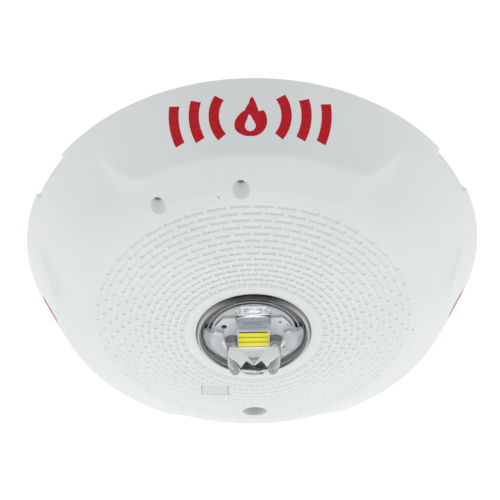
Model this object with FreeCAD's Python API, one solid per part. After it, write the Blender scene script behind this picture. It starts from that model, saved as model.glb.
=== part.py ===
"""Ceiling horn strobe: a round, face-down alarm sounder with an LED beacon.

Millimetres.  The origin is the centre of the mounting plate's back face, where it lies on the ceiling.
+Z points up into the ceiling, so the device hangs towards -Z, and its main marking panel faces -Y.
"""
import FreeCAD, Part
import math
import os

V = FreeCAD.Vector
DOWN = V(0, 0, -1)

# ---- front cover -----------------------------------------------------------------------------------
RIM_R = 86.5             # outer radius at the rim
RIM_Z = -2.0             # the rim hangs this far below the ceiling
RIDGE_R = 73.9           # where the steep marking wall meets the cone
RIDGE_Z = -27.4
DOME_R = 63.0            # where the cone meets the dome
CROWN_Z = -43.6          # lowest level of the dome, carried on to its centre
DOME_SLOPE = 0.405       # rise of the dome's outer part for each millimetre of radius
DOME_BEND_R = 39.05      # where that slope and the flat middle would meet
DOME_SOFTNESS = 3.5      # how gently they do
WALL = 2.0               # wall of the shell
PANEL_COUNT = 3          # marking panels, and as many ears between them
EAR_BREAK_R = 69.0       # where an ear turns down from the cone
EAR_SLOPE = 1.5          # fall of an ear for each millimetre of radius
EAR_HALF_ANGLES = ((18.5, 1.0), (22.5, 0.62))   # half width in degrees, and how far the ear's fall has come
NOTCH_HALF_ANGLE = 7.0   # shallow step in the rim at each ear
NOTCH_DEPTH = 1.3

HOLE_R = 19.3            # beacon opening
FLARE_R = 21.2           # its flared lip
FLARE_DEPTH = 1.2
PORT_R = 64.8            # two sound ports on the dome's edge
PORT_ANGLES = (-3.5, -30.0)
PORT_MOUTH_R = 3.3
PORT_HOLE_R = 1.3
PORT_DEPTH = 4.0
WINDOW = (-15.0, 32.0, 10.6, 6.2)               # centre x and y, length and width of the setting window

# ---- mounting screw --------------------------------------------------------------------------------
SCREW_Y = 50.0
WELL_R = 4.65            # well in the cover that holds its head
WELL_FLOOR_Z = -22.0
SHANK_R = 1.62           # root of an M4 thread
NUT_R = 2.05             # crest of the same thread, in the insert
SCREW_TIP_Z = -3.2
INSERT_R = 3.3           # threaded bush in the plate

# ---- mounting plate and hinge ----------------------------------------------------------------------
PLATE_R = 74.0
PLATE_T = 2.4
PLATE_RIM_Z = -6.0
WIRE_HOLE_R = 17.0
GANG_SPACING = 83.3      # single-gang box, screws one above the other
GANG_Y = -3.0            # middle of that pair of slots, clear of the mounting screw's boss
BOX_SPACING = 62.9       # four-inch box, screws on the corners of a square
SLOT_R = 2.1
GANG_SLOT = 9.0
BOX_SLOT = 10.0
HINGE_Y = -79.0
HINGE_Z = -3.6
HINGE_BAR_R = 1.5
HINGE_X = (-9.0, 9.0)
HINGE_GAP = 0.1
HOOK_WALL = 1.2

# ---- rear housing and boards -----------------------------------------------------------------------
HOUSING_R = 78.2
BACK_Z = -8.0            # outer face of the housing's back wall
BACK_T = 2.0
SKIRT_R = (76.4, 78.0)
SKIRT_TOP_Z = -3.0
BOARD_R = 69.5
BOARD_Z = (-20.6, -19.0)
POST_ANGLES = (-60.0, 60.0, 150.0)              # board posts
BOARD_POST_R = 61.0
BOSS_ANGLES = (45.0, 165.0, 285.0)              # screws that join the housing to the cover
BOSS_R = 66.0
BOSS_OUTER_R = 3.4

# ---- terminals -------------------------------------------------------------------------------------
BLOCK_X = (31.0, 49.0)
BLOCK_Y = (-24.0, 24.0)
BLOCK_Z = (-12.0, -PLATE_T)
TERMINAL_Y = (-18.0, -6.0, 6.0, 18.0)
BLADE_X = 33.8
CLAMP_X = 43.2
CLAMP_Z = -6.9           # upper face of each wire clamp
TERMINAL_SHANK_R = 1.35
TERMINAL_HOLE_R = 1.75

# ---- selectors -------------------------------------------------------------------------------------
SLIDER_TRAVEL = 5.0      # each way from the middle setting
FLAG_Z = -35.9           # back of the flag that shows through the window
DIAL_XY = (-44.0, 6.0)

# ---- horn ------------------------------------------------------------------------------------------
HORN_ANGLE = -16.75
HORN_DIST = 44.0
HORN_R = 19.6
HORN_Z = (-28.4, -21.2)
HORN_WALL = 1.5
HORN_DUCT_Z = -24.9      # level of the ducts from the cup to the necks
DISC_Z = (-23.1, -22.8)  # the brass sounder disc
HORN_NECK_Z = -26.9      # level where the horn's necks meet the cover's bosses

# ---- beacon ----------------------------------------------------------------------------------------
OPTIC_SKIRT_R = 18.0
OPTIC_BORE_R = 16.6
OPTIC_FLANGE_R = 23.2
OPTIC_FLANGE_Z = (-41.2, -39.8)
OPTIC_RIM_Z = -43.6      # lower edge of the skirt
OPTIC_FOOT_Z = -43.5     # where the wings, the lobe and the posts stand on the LED board
WING_SPAN = (74.0, 62.0)                        # start and width in degrees of each side wing
POST_XY = (8.4, 1.4)                            # the two posts that carry the prism
POST_R = (2.1, 2.2)                             # at the prism and at the foot
PRISM_Y = (-2.6, 5.4)
PRISM_HALF = ((9.2, -49.5), (3.7, -51.5), (0.0, -58.0))       # half of its notched upper edge, outside first
PRISM_LOWER = ((9.8, -54.3), (5.8, -61.8), (0.0, -62.5))      # half of its lower edge
LOBE_X = 6.4                                    # half width of the lobe on the near side
LOBE_Y = (-13.4, -5.6)
LOBE_Z = (-46.2, -48.2)                         # its shoulders and its top
LED_BOARD_Z = (-43.4, -42.4)
LED_BOARD_OUTLINE = ((10.8, -8.6), (14.9, -3.3), (14.9, 5.0), (10.8, 10.3))   # half of its corners
LED_HOLES = ((-10.7, -4.1), (-12.9, -0.6), (13.3, -0.5), (11.6, 6.0))
LED_PIN_XY = ((-5.5, 8.5), (5.5, 8.5))
LED_Y = 0.9              # the LED sits a little off the middle
EMITTER = (11.8, 9.8)
EMITTER_Z = (-45.4, -43.4)
PHOSPHOR = (10.8, 8.4)
PHOSPHOR_Z = (-45.8, -45.4)
SINK_Z = (-42.4, -39.7, -36.0)                  # small face, step and large face of the heat sink


def polar(radius, degrees):
    """Point on a circle, with 0 degrees at -Y and +90 degrees at +X."""
    angle = math.radians(degrees)
    return radius * math.sin(angle), -radius * math.cos(angle)


def plug(radius, low, high, x=0.0, y=0.0):
    """Upright cylinder between two heights."""
    return Part.makeCylinder(radius, high - low, V(x, y, low))


def ring(outer, inner, low, high, x=0.0, y=0.0):
    """Upright tube between two heights."""
    return plug(outer, low, high, x, y).cut(plug(inner, low - 1, high + 1, x, y))


def block(xs, ys, zs):
    """Box from three (low, high) pairs."""
    size = [pair[1] - pair[0] for pair in (xs, ys, zs)]
    return Part.makeBox(size[0], size[1], size[2], V(xs[0], ys[0], zs[0]))


def centred(x, y, length, width, low, high):
    """Box centred on a point in plan."""
    return block((x - length / 2, x + length / 2), (y - width / 2, y + width / 2), (low, high))


def slot(x, y, length, radius, low, high, along="x"):
    """Round-ended slot through a plate."""
    reach = length / 2 - radius
    dx, dy = (reach, 0) if along == "x" else (0, reach)
    middle = centred(x, y, 2 * max(dx, radius), 2 * max(dy, radius), low, high)
    return middle.fuse([plug(radius, low, high, x - dx, y - dy), plug(radius, low, high, x + dx, y + dy)])


def turned(outline, degrees=360.0, start=0.0):
    """Revolve an outline of (radius, height) corners about Z; start turns the first face from -Y."""
    wire = Part.makePolygon([V(r, 0, z) for r, z in outline + outline[:1]])
    solid = Part.Face(wire).revolve(V(), V(0, 0, 1), degrees)
    solid.rotate(V(), V(0, 0, 1), start - 90)
    return solid


def rod_x(radius, low, high, y, z):
    """Cylinder lying along X."""
    return Part.makeCylinder(radius, high - low, V(low, y, z), V(1, 0, 0))


def joined(shapes):
    """Fuse a list into one solid."""
    return shapes[0].fuse(shapes[1:]).removeSplitter()


def group(shapes):
    """Identical separate pieces that share one node."""
    return Part.makeCompound(shapes)


# ---- the cover's outer form -------------------------------------------------------------------------
def dome_z(r):
    """Height of the dome: flat in the middle, bending softly into an even slope."""
    return CROWN_Z + DOME_SLOPE * DOME_SOFTNESS * math.log1p(math.exp((r - DOME_BEND_R) / DOME_SOFTNESS))


DOME_Z = dome_z(DOME_R)
WALL_SLOPE = (RIM_Z - RIDGE_Z) / (RIM_R - RIDGE_R)
CONE_SLOPE = (RIDGE_Z - DOME_Z) / (RIDGE_R - DOME_R)


def cover_form(inset):
    """Solid bounded by the cover's outer surface, or by the same surface moved in by inset."""
    wall_in = inset * math.hypot(1, WALL_SLOPE) / WALL_SLOPE
    cone_in = inset * math.hypot(1, CONE_SLOPE)
    rim_r = RIM_R - wall_in
    edge_z = DOME_Z + cone_in
    # the wall line is z = RIM_Z + WALL_SLOPE * (r - rim_r), the cone line z = edge_z + CONE_SLOPE * (r - DOME_R)
    ridge_r = (edge_z - RIM_Z + WALL_SLOPE * rim_r - CONE_SLOPE * DOME_R) / (WALL_SLOPE - CONE_SLOPE)
    ridge_z = edge_z + CONE_SLOPE * (ridge_r - DOME_R)
    radii = [DOME_R * (1 - i / 14) for i in range(15)]
    dome = Part.BSplineCurve()
    dome.interpolate([V(r, 0, dome_z(r) + cone_in) for r in radii])
    top = V(0, 0, RIM_Z)
    corners = [top, V(rim_r, 0, RIM_Z), V(ridge_r, 0, ridge_z), V(DOME_R, 0, edge_z)]
    edges = [Part.makeLine(corners[i], corners[i + 1]) for i in range(3)]
    edges += [dome.toShape(), Part.makeLine(V(0, 0, CROWN_Z + cone_in), top)]
    form = Part.Face(Part.Wire(edges)).revolve(V(), V(0, 0, 1), 360)
    for index in range(PANEL_COUNT):
        middle = 180 / PANEL_COUNT + index * 360 / PANEL_COUNT
        for half_angle, share in EAR_HALF_ANGLES:
            form = form.cut(ear_cutter(middle, half_angle, share, cone_in))
        notch = turned([(RIM_R - NOTCH_DEPTH - inset, RIM_Z + 1), (RIM_R + 5, RIM_Z + 1),
                        (RIM_R + 5, RIM_Z - 9), (RIM_R - NOTCH_DEPTH - 5 - inset, RIM_Z - 9)],
                       2 * NOTCH_HALF_ANGLE, middle - NOTCH_HALF_ANGLE)
        form = form.cut(notch)
    return form


def ear_cutter(middle, half_angle, share, lift):
    """What is cut from the round form so that an ear slopes from the cone towards the rim."""
    start_z = DOME_Z + CONE_SLOPE * (EAR_BREAK_R - DOME_R) + lift
    slope = CONE_SLOPE + (EAR_SLOPE - CONE_SLOPE) * share
    far_r = RIM_R + 4
    outline = [(EAR_BREAK_R, start_z), (far_r, start_z + slope * (far_r - EAR_BREAK_R)),
               (far_r + 8, start_z), (far_r + 8, CROWN_Z), (EAR_BREAK_R, CROWN_Z)]
    return turned(outline, 2 * half_angle, middle - half_angle)


def front_cover():
    """Moulded shell with its beacon opening, sound ports, screw well, setting window and screw bosses."""
    outer = cover_form(0.0)
    shell = outer.cut(cover_form(WALL))
    inside = []
    for angle in PORT_ANGLES:
        x, y = polar(PORT_R, angle)
        inside.append(plug(PORT_MOUTH_R + 0.1, CROWN_Z, HORN_NECK_Z - 0.1, x, y))
    for angle in BOSS_ANGLES:
        x, y = polar(BOSS_R, angle)
        inside.append(plug(BOSS_OUTER_R, CROWN_Z, BACK_Z - BACK_T - 0.1, x, y))
    inside.append(plug(WELL_R + 1.5, CROWN_Z, WELL_FLOOR_Z + 1.4, 0, SCREW_Y))
    inside.append(ring(OPTIC_FLANGE_R + 1.6, OPTIC_FLANGE_R + 0.1, CROWN_Z, OPTIC_FLANGE_Z[1] + 1.2))
    cover = shell.fuse([piece.common(outer) for piece in inside])
    cuts = [plug(HOLE_R, -50, -30)]
    below = 0.6
    wide_r = FLARE_R + below * (FLARE_R - HOLE_R) / FLARE_DEPTH
    cuts.append(Part.makeCone(wide_r, HOLE_R, FLARE_DEPTH + below, V(0, 0, dome_z(FLARE_R) - below)))
    cuts.append(plug(WELL_R, -50, WELL_FLOOR_Z, 0, SCREW_Y))
    cuts.append(plug(SHANK_R + 0.7, -30, -10, 0, SCREW_Y))
    cuts.append(centred(WINDOW[0], WINDOW[1], WINDOW[2], WINDOW[3], -50, -30))
    for angle in BOSS_ANGLES:
        x, y = polar(BOSS_R, angle)
        cuts.append(plug(1.25, -24, BACK_Z, x, y))
    for angle in PORT_ANGLES:
        x, y = polar(PORT_R, angle)
        mouth_z = DOME_Z + CONE_SLOPE * (PORT_R - DOME_R) - 1.0
        cuts.append(Part.makeCone(PORT_MOUTH_R, PORT_HOLE_R, PORT_DEPTH, V(x, y, mouth_z)))
        cuts.append(plug(PORT_HOLE_R, -40, -20, x, y))
    return cover.cut(Part.makeCompound(cuts))


def rear_housing():
    """Tray that closes the cover: back wall, skirt round the plate, terminal pocket, posts and hooks."""
    low = BACK_Z - BACK_T
    body = [plug(HOUSING_R, low, BACK_Z), ring(SKIRT_R[1], SKIRT_R[0], low, SKIRT_TOP_Z)]
    pocket = ((BLOCK_X[0] - 1.6, BLOCK_X[1] + 1.6), (BLOCK_Y[0] - 2.0, BLOCK_Y[1] + 2.0))
    outer_box = block((pocket[0][0] - 1.4, pocket[0][1] + 1.4), (pocket[1][0] - 1.4, pocket[1][1] + 1.4),
                      (-14.6, low))
    body.append(outer_box)
    for angle in POST_ANGLES:
        x, y = polar(BOARD_POST_R, angle)
        body.append(plug(3.2, BOARD_Z[1], low, x, y))
    tray = joined(body)
    cuts = [block(pocket[0], pocket[1], (-13.2, BACK_Z + 1))]
    cuts.append(block((-17, 17), (-90, -73), (SKIRT_TOP_Z - 4.9, 0)))
    cuts.append(plug(SHANK_R + 0.7, -20, 0, 0, SCREW_Y))
    cuts.append(plug(6.2, BACK_Z - 3, BACK_Z + 1, DIAL_XY[0], DIAL_XY[1]))
    cuts.append(centred(WINDOW[0], WINDOW[1], 2 * SLIDER_TRAVEL + 7, 4.4, -12, 0))
    for y in TERMINAL_Y:
        cuts.append(centred(BLADE_X, y, 1.8, 6.0, -16, -12))
    for angle in BOSS_ANGLES:
        x, y = polar(BOSS_R, angle)
        cuts.append(plug(1.7, -12, 0, x, y))
    for angle in POST_ANGLES:
        x, y = polar(BOARD_POST_R, angle)
        cuts.append(plug(1.05, -20, low - 2, x, y))
    tray = tray.cut(Part.makeCompound(cuts))
    return joined([tray] + [hook(x) for x in HINGE_X])


def hook(x):
    """C-shaped hook that hangs over one hinge bar, open on the side that faces the plate."""
    inner = HINGE_BAR_R + HINGE_GAP
    outer = inner + HOOK_WALL
    shape = rod_x(outer, x - 3, x + 3, HINGE_Y, HINGE_Z)
    arm = block((x - 3, x + 3), (HINGE_Y - 0.3, HINGE_Y + 2.6), (BACK_Z - 0.5, HINGE_Z - 0.6))
    shape = shape.fuse(arm).cut(rod_x(inner, x - 4, x + 4, HINGE_Y, HINGE_Z))
    mouth = block((x - 4, x + 4), (HINGE_Y + 0.5, HINGE_Y + 6), (HINGE_Z - 2.2, HINGE_Z + 0.9))
    return shape.cut(mouth)


def mounting_plate():
    """Ceiling plate with its wire opening, box slots, boss for the mounting screw and hinge bars."""
    body = [plug(PLATE_R, -PLATE_T, 0), ring(PLATE_R, PLATE_R - 2, PLATE_RIM_Z, -PLATE_T)]
    body.append(ring(WIRE_HOLE_R + 2, WIRE_HOLE_R, -4.4, -PLATE_T))
    body.append(plug(5.2, -7.0, -PLATE_T, 0, SCREW_Y))
    for x in HINGE_X:
        for side in (-1, 1):
            inner = x + side * 3.9
            ear = block(sorted((inner, inner + side * 1.6)), (HINGE_Y - 1.7, -PLATE_R + 2), (-5.2, -0.9))
            body.append(ear)
        body.append(rod_x(HINGE_BAR_R, x - 4, x + 4, HINGE_Y, HINGE_Z))
    for angle in range(20, 360, 40):
        rib = centred(0, -(WIRE_HOLE_R + PLATE_R) / 2 - 3, 1.6, PLATE_R - WIRE_HOLE_R - 12, -3.6, -PLATE_T)
        rib.rotate(V(), V(0, 0, 1), angle)
        body.append(rib)
    plate = joined(body)
    cuts = [plug(WIRE_HOLE_R, -10, 1), plug(INSERT_R, -10, 1, 0, SCREW_Y)]
    for sign in (-1, 1):
        cuts.append(slot(0, GANG_Y + sign * GANG_SPACING / 2, GANG_SLOT, SLOT_R, -10, 1, "y"))
        for other in (-1, 1):
            cuts.append(slot(sign * BOX_SPACING / 2, other * BOX_SPACING / 2, BOX_SLOT, SLOT_R, -10, 1))
    cuts.append(block((BLOCK_X[0], BLOCK_X[1]), (BLOCK_Y[0], BLOCK_Y[1]), (-9, -PLATE_T)))
    return plate.cut(Part.makeCompound(cuts))


def terminal_block():
    """Moulded block with a wire chamber, a clamp and a blade slot for each of four terminals."""
    body = block(BLOCK_X, BLOCK_Y, BLOCK_Z)
    cuts = []
    for y in TERMINAL_Y:
        cuts.append(block((CLAMP_X - 4.6, BLOCK_X[1] + 1), (y - 4.6, y + 4.6), (-13, -6.0)))
        cuts.append(block((BLADE_X - 1.2, BLADE_X + 2.2), (y - 3.6, y + 3.6), (-13, -5.0)))
        cuts.append(block((BLADE_X + 2.1, CLAMP_X - 4.5), (y - 2.1, y + 2.1), (-6.9, -5.9)))
        cuts.append(plug(TERMINAL_HOLE_R, -7, -2.9, CLAMP_X, y))
    return body.cut(Part.makeCompound(cuts))


def terminal_contacts():
    """Four brass strips: each runs from under a clamp to a spring leaf beside its blade."""
    strips = []
    for y in TERMINAL_Y:
        foot = block((BLADE_X + 0.7, CLAMP_X + 4), (y - 2.0, y + 2.0), (-6.8, -6.0))
        leaf = block((BLADE_X + 0.7, BLADE_X + 1.2), (y - 2.0, y + 2.0), (-10.8, -6.0))
        strips.append(joined([foot, leaf]).cut(plug(TERMINAL_HOLE_R, -8, -5, CLAMP_X, y)))
    return group(strips)


def terminal_clamp(y):
    """Square clamp plate that turns with no screw: it presses the wire on the contact strip."""
    plate = centred(CLAMP_X, y, 7.6, 7.6, CLAMP_Z - 1.0, CLAMP_Z)
    lips = [centred(CLAMP_X, y + side * 3.4, 7.6, 0.8, CLAMP_Z - 1.8, CLAMP_Z - 1.0) for side in (-1, 1)]
    return joined([plate] + lips).cut(plug(TERMINAL_HOLE_R, -12, -5, CLAMP_X, y))


def cross_recess(x, y, face_z, size, depth):
    """Cross-shaped driver recess cut up into a head whose face looks down."""
    bar = centred(x, y, size, size * 0.22, face_z, face_z + depth)
    other = centred(x, y, size * 0.22, size, face_z, face_z + depth)
    return bar.fuse(other)


def pan_screw(x, y, seat_z, tip_z, head_r, head_h, shank_r):
    """Pan-head screw with its head below: seat_z is the underside of the head, tip_z the end of the shank."""
    head = Part.makeCone(head_r * 0.78, head_r, head_h * 0.45, V(x, y, seat_z - head_h))
    head = head.fuse(plug(head_r, seat_z - head_h * 0.55, seat_z, x, y))
    shank = plug(shank_r, seat_z - 0.2, tip_z - 0.6, x, y)
    point = Part.makeCone(shank_r, shank_r * 0.6, 0.6, V(x, y, tip_z - 0.6))
    screw = joined([head, shank, point])
    return screw.cut(cross_recess(x, y, seat_z - head_h - 0.01, head_r * 1.1, head_h * 0.6))


def back_screw(x, y, seat_z, tip_z, head_r, head_h, shank_r):
    """The same screw with its head above, driven from the back."""
    screw = pan_screw(x, y, -seat_z, -tip_z, head_r, head_h, shank_r)
    return screw.mirror(V(), V(0, 0, 1))


def shorting_spring():
    """Leaf that bridges the two middle terminals when the device is off the plate."""
    return block((BLADE_X + 2.3, BLADE_X + 3.9), (-8.5, 8.5), (BLOCK_Z[0] - 0.4, BLOCK_Z[0]))


def screw_insert():
    """Threaded brass bush pressed into the plate's boss."""
    return ring(INSERT_R, NUT_R, -7.0, -0.6, 0, SCREW_Y)


def mounting_screw():
    """Long captive screw that holds the free side of the device to the plate."""
    return pan_screw(0, SCREW_Y, WELL_FLOOR_Z - 0.1, SCREW_TIP_Z, 3.6, 2.5, SHANK_R)


def screw_retainer():
    """Nylon washer on the shank, which keeps the mounting screw in the device."""
    return ring(3.1, SHANK_R + 0.08, -14.6, -13.6, 0, SCREW_Y)


def main_board():
    """Round circuit board with openings for the bosses, the screw, the setting slider and the LED pins."""
    board = plug(BOARD_R, BOARD_Z[0], BOARD_Z[1])
    cuts = [plug(WELL_R + 2.1, -22, -18, 0, SCREW_Y)]
    cuts.append(centred(WINDOW[0], WINDOW[1], 2 * SLIDER_TRAVEL + 5, 4.0, -22, -18))
    for angle in BOSS_ANGLES:
        x, y = polar(BOSS_R, angle)
        cuts.append(plug(4.2, -22, -18, x, y))
    for angle in POST_ANGLES:
        x, y = polar(BOARD_POST_R, angle)
        cuts.append(plug(1.7, -22, -18, x, y))
    for x, y in LED_PIN_XY:
        cuts.append(plug(0.55, -22, -18, x, y))
    return board.cut(Part.makeCompound(cuts))


def blade_carrier():
    """Moulded strip on the board that holds the four contact blades."""
    strip = block((BLADE_X - 2.6, BLADE_X + 2.6), (-22, 22), (BOARD_Z[1], -14.7))
    blades = [centred(BLADE_X, y, 0.8, 5.0, -20, -14) for y in TERMINAL_Y]
    return strip.cut(Part.makeCompound(blades))


def contact_blades():
    """Four tinned blades that plug into the terminal block as the device closes."""
    return group([centred(BLADE_X, y, 0.8, 5.0, BOARD_Z[1], -7.4) for y in TERMINAL_Y])


def board_screws():
    """Three screws from the front through the board into the housing's posts."""
    places = [polar(BOARD_POST_R, angle) for angle in POST_ANGLES]
    return group([pan_screw(x, y, BOARD_Z[0], -13.0, 2.7, 1.8, 1.05) for x, y in places])


def cover_screws():
    """Three screws from the back through the housing into the cover's bosses."""
    places = [polar(BOSS_R, angle) for angle in BOSS_ANGLES]
    return group([back_screw(x, y, BACK_Z, -21.0, 2.9, 1.9, 1.25) for x, y in places])


def candela_switch():
    """Slide-switch body on the back of the board, with the slot that guides the slider."""
    x, y = WINDOW[:2]
    body = centred(x, y, 2 * SLIDER_TRAVEL + 8, 8.0, BOARD_Z[1], -13.6)
    return body.cut(centred(x, y, 2 * SLIDER_TRAVEL + 3.6, 3.3, -20, -12))


def candela_slider():
    """Brightness selector: a ribbed knob at the back, a stem and a flag that shows through the window."""
    x, y = WINDOW[:2]
    knob = centred(x, y, 6.4, 3.8, -9.6, BACK_Z + 1.4)
    grooves = [centred(x + step, y, 0.6, 4, BACK_Z + 0.8, BACK_Z + 2) for step in (-2, -1, 0, 1, 2)]
    stem = centred(x, y, 3.2, 3.0, -35.0, -9.0)
    flag = centred(x, y, 2 * SLIDER_TRAVEL + 11, 5.2, FLAG_Z - 0.8, FLAG_Z)
    web = centred(x, y, 9.0, 3.0, FLAG_Z, FLAG_Z + 1.9)
    return joined([knob.cut(Part.makeCompound(grooves)), stem, web, flag])


def candela_window():
    """Clear pane set in the cover over the slider's flag."""
    x, y = WINDOW[:2]
    return centred(x, y, WINDOW[2] - 0.1, WINDOW[3] - 0.1, -41.0, -39.3)


def tone_switch():
    """Body of the rotary tone selector on the back of the board."""
    x, y = DIAL_XY
    return centred(x, y, 12, 12, BOARD_Z[1], -12.4).cut(plug(2.08, -17, -12, x, y))


def tone_dial():
    """Dial of the tone selector: turned from the back with a screwdriver, arrow slot in its face."""
    x, y = DIAL_XY
    dial = joined([plug(5.4, -12.2, BACK_Z - 0.2, x, y), plug(2.0, -16.5, -12.0, x, y)])
    arrow = centred(x, y, 1.3, 7.6, BACK_Z - 1.4, BACK_Z)
    head = Part.Face(Part.makePolygon([V(x - 2.2, y + 2.0, BACK_Z - 1.4), V(x + 2.2, y + 2.0, BACK_Z - 1.4),
                                       V(x, y + 4.8, BACK_Z - 1.4), V(x - 2.2, y + 2.0, BACK_Z - 1.4)]))
    return dial.cut(arrow.fuse(head.extrude(V(0, 0, 2))))


def horn_chamber():
    """Resonator cup with two necks that lead its sound to the cover's ports."""
    x, y = polar(HORN_DIST, HORN_ANGLE)
    low, high = HORN_Z
    necks = []
    holes = [plug(HORN_R - HORN_WALL, low + HORN_WALL, high + 1, x, y)]
    for angle in PORT_ANGLES:
        px, py = polar(PORT_R, angle)
        inward = V(x - px, y - py, 0)
        necks.append(plug(2.4, HORN_NECK_Z, -22.6, px, py))
        necks.append(Part.makeCylinder(1.9, 8.0, V(px, py, HORN_DUCT_Z), inward))
        holes.append(plug(1.4, HORN_NECK_Z - 1, HORN_DUCT_Z, px, py))
        holes.append(Part.makeCylinder(1.1, 8.0, V(px, py, HORN_DUCT_Z), inward))
    cup = plug(HORN_R, low, high, x, y).fuse(necks)
    return cup.cut(Part.makeCompound(holes)).removeSplitter()


def sounder_disc():
    """Brass disc that sounds the horn, seated on a step inside the chamber."""
    x, y = polar(HORN_DIST, HORN_ANGLE)
    return plug(17.5, DISC_Z[0], DISC_Z[1], x, y)


def sounder_ceramic():
    """Ceramic layer bonded on the disc."""
    x, y = polar(HORN_DIST, HORN_ANGLE)
    return plug(12.5, DISC_Z[1], DISC_Z[1] + 0.25, x, y)


def sounder_ring():
    """Ring that clamps the disc's edge in the chamber."""
    x, y = polar(HORN_DIST, HORN_ANGLE)
    return ring(HORN_R - HORN_WALL - 0.1, 16.2, DISC_Z[1], HORN_Z[1] - 0.1, x, y)


def sounder_seat():
    """Soft ring that the disc's edge rests on."""
    x, y = polar(HORN_DIST, HORN_ANGLE)
    return ring(HORN_R - HORN_WALL - 0.1, 16.4, DISC_Z[0] - 0.7, DISC_Z[0], x, y)


def sounder_pins():
    """Two spring pins from the board: one on the ceramic, one on the brass rim."""
    x, y = polar(HORN_DIST, HORN_ANGLE)
    pins = []
    for reach, tip in ((4.0, DISC_Z[1] + 0.3), (14.6, DISC_Z[1] + 0.05)):
        pins.append(joined([plug(1.1, -21.2, BOARD_Z[0], x + reach, y), plug(0.6, tip, -21.2, x + reach, y)]))
    return group(pins)


def storage_capacitors():
    """Two electrolytic cans that hold the charge for each flash."""
    cans = []
    for x, y in ((28.0, -34.0), (41.0, -30.0)):
        can = plug(5.0, -31.6, BOARD_Z[0], x, y)
        can = can.cut(ring(5.2, 4.7, -23.0, -22.2, x, y))
        cans.append(can)
    return group(cans)


def inductor_core():
    """Ferrite drum of the boost inductor."""
    x, y = -46.0, 22.0
    return joined([plug(6.5, -22.0, BOARD_Z[0], x, y), plug(3.0, -28.5, -22.0, x, y), plug(6.5, -30.0, -28.5, x, y)])


def inductor_winding():
    """Copper winding on the drum."""
    return ring(5.7, 3.05, -28.4, -22.1, -46.0, 22.0)


def controller_chip():
    """Square controller with its leads."""
    x, y = 40.0, 20.0
    body = centred(x, y, 9, 9, -22.6, -20.8)
    leads = []
    for step in range(-3, 4):
        for side in (-1, 1):
            leads.append(centred(x + side * 5.2, y + step * 1.1, 1.6, 0.5, -21.0, BOARD_Z[0]))
            leads.append(centred(x + step * 1.1, y + side * 5.2, 0.5, 1.6, -21.0, BOARD_Z[0]))
    return joined([body] + leads)


def led_tower():
    """Moulded tube that carries the beacon above the board."""
    foot = ring(18.5, 11.0, -22.2, BOARD_Z[0])
    tube = ring(14.0, 11.0, SINK_Z[2], -22.2)
    return joined([foot, tube])


def led_heat_sink():
    """Black aluminium disc behind the LED board, flanged to press the optic against the cover."""
    body = joined([plug(22.8, SINK_Z[1], SINK_Z[2]), plug(16.4, SINK_Z[0], SINK_Z[1])])
    return body.cut(Part.makeCompound([plug(1.2, CROWN_Z, -30, x, y) for x, y in LED_PIN_XY]))


def led_board():
    """White metal-cored board with the LED, two locating holes and two fixing holes."""
    corners = list(LED_BOARD_OUTLINE) + [(-x, y) for x, y in reversed(LED_BOARD_OUTLINE)]
    outline = [V(x, y, LED_BOARD_Z[0]) for x, y in corners]
    board = Part.Face(Part.makePolygon(outline + outline[:1])).extrude(V(0, 0, LED_BOARD_Z[1] - LED_BOARD_Z[0]))
    cuts = [plug(1.0, -45, -40, x, y) for x, y in LED_HOLES]
    cuts += [plug(0.55, -45, -40, x, y) for x, y in LED_PIN_XY]
    return board.cut(Part.makeCompound(cuts))


def led_pins():
    """Two pins that feed the LED board from the main board."""
    return group([plug(0.5, LED_BOARD_Z[0] - 0.6, BOARD_Z[1], x, y) for x, y in LED_PIN_XY])


def led_emitter():
    """Ceramic package of the LED."""
    return centred(0, LED_Y, EMITTER[0], EMITTER[1], EMITTER_Z[0], EMITTER_Z[1])


def led_phosphor():
    """Yellow phosphor field of the LED."""
    return centred(0, LED_Y, PHOSPHOR[0], PHOSPHOR[1], PHOSPHOR_Z[0], PHOSPHOR_Z[1])


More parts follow.
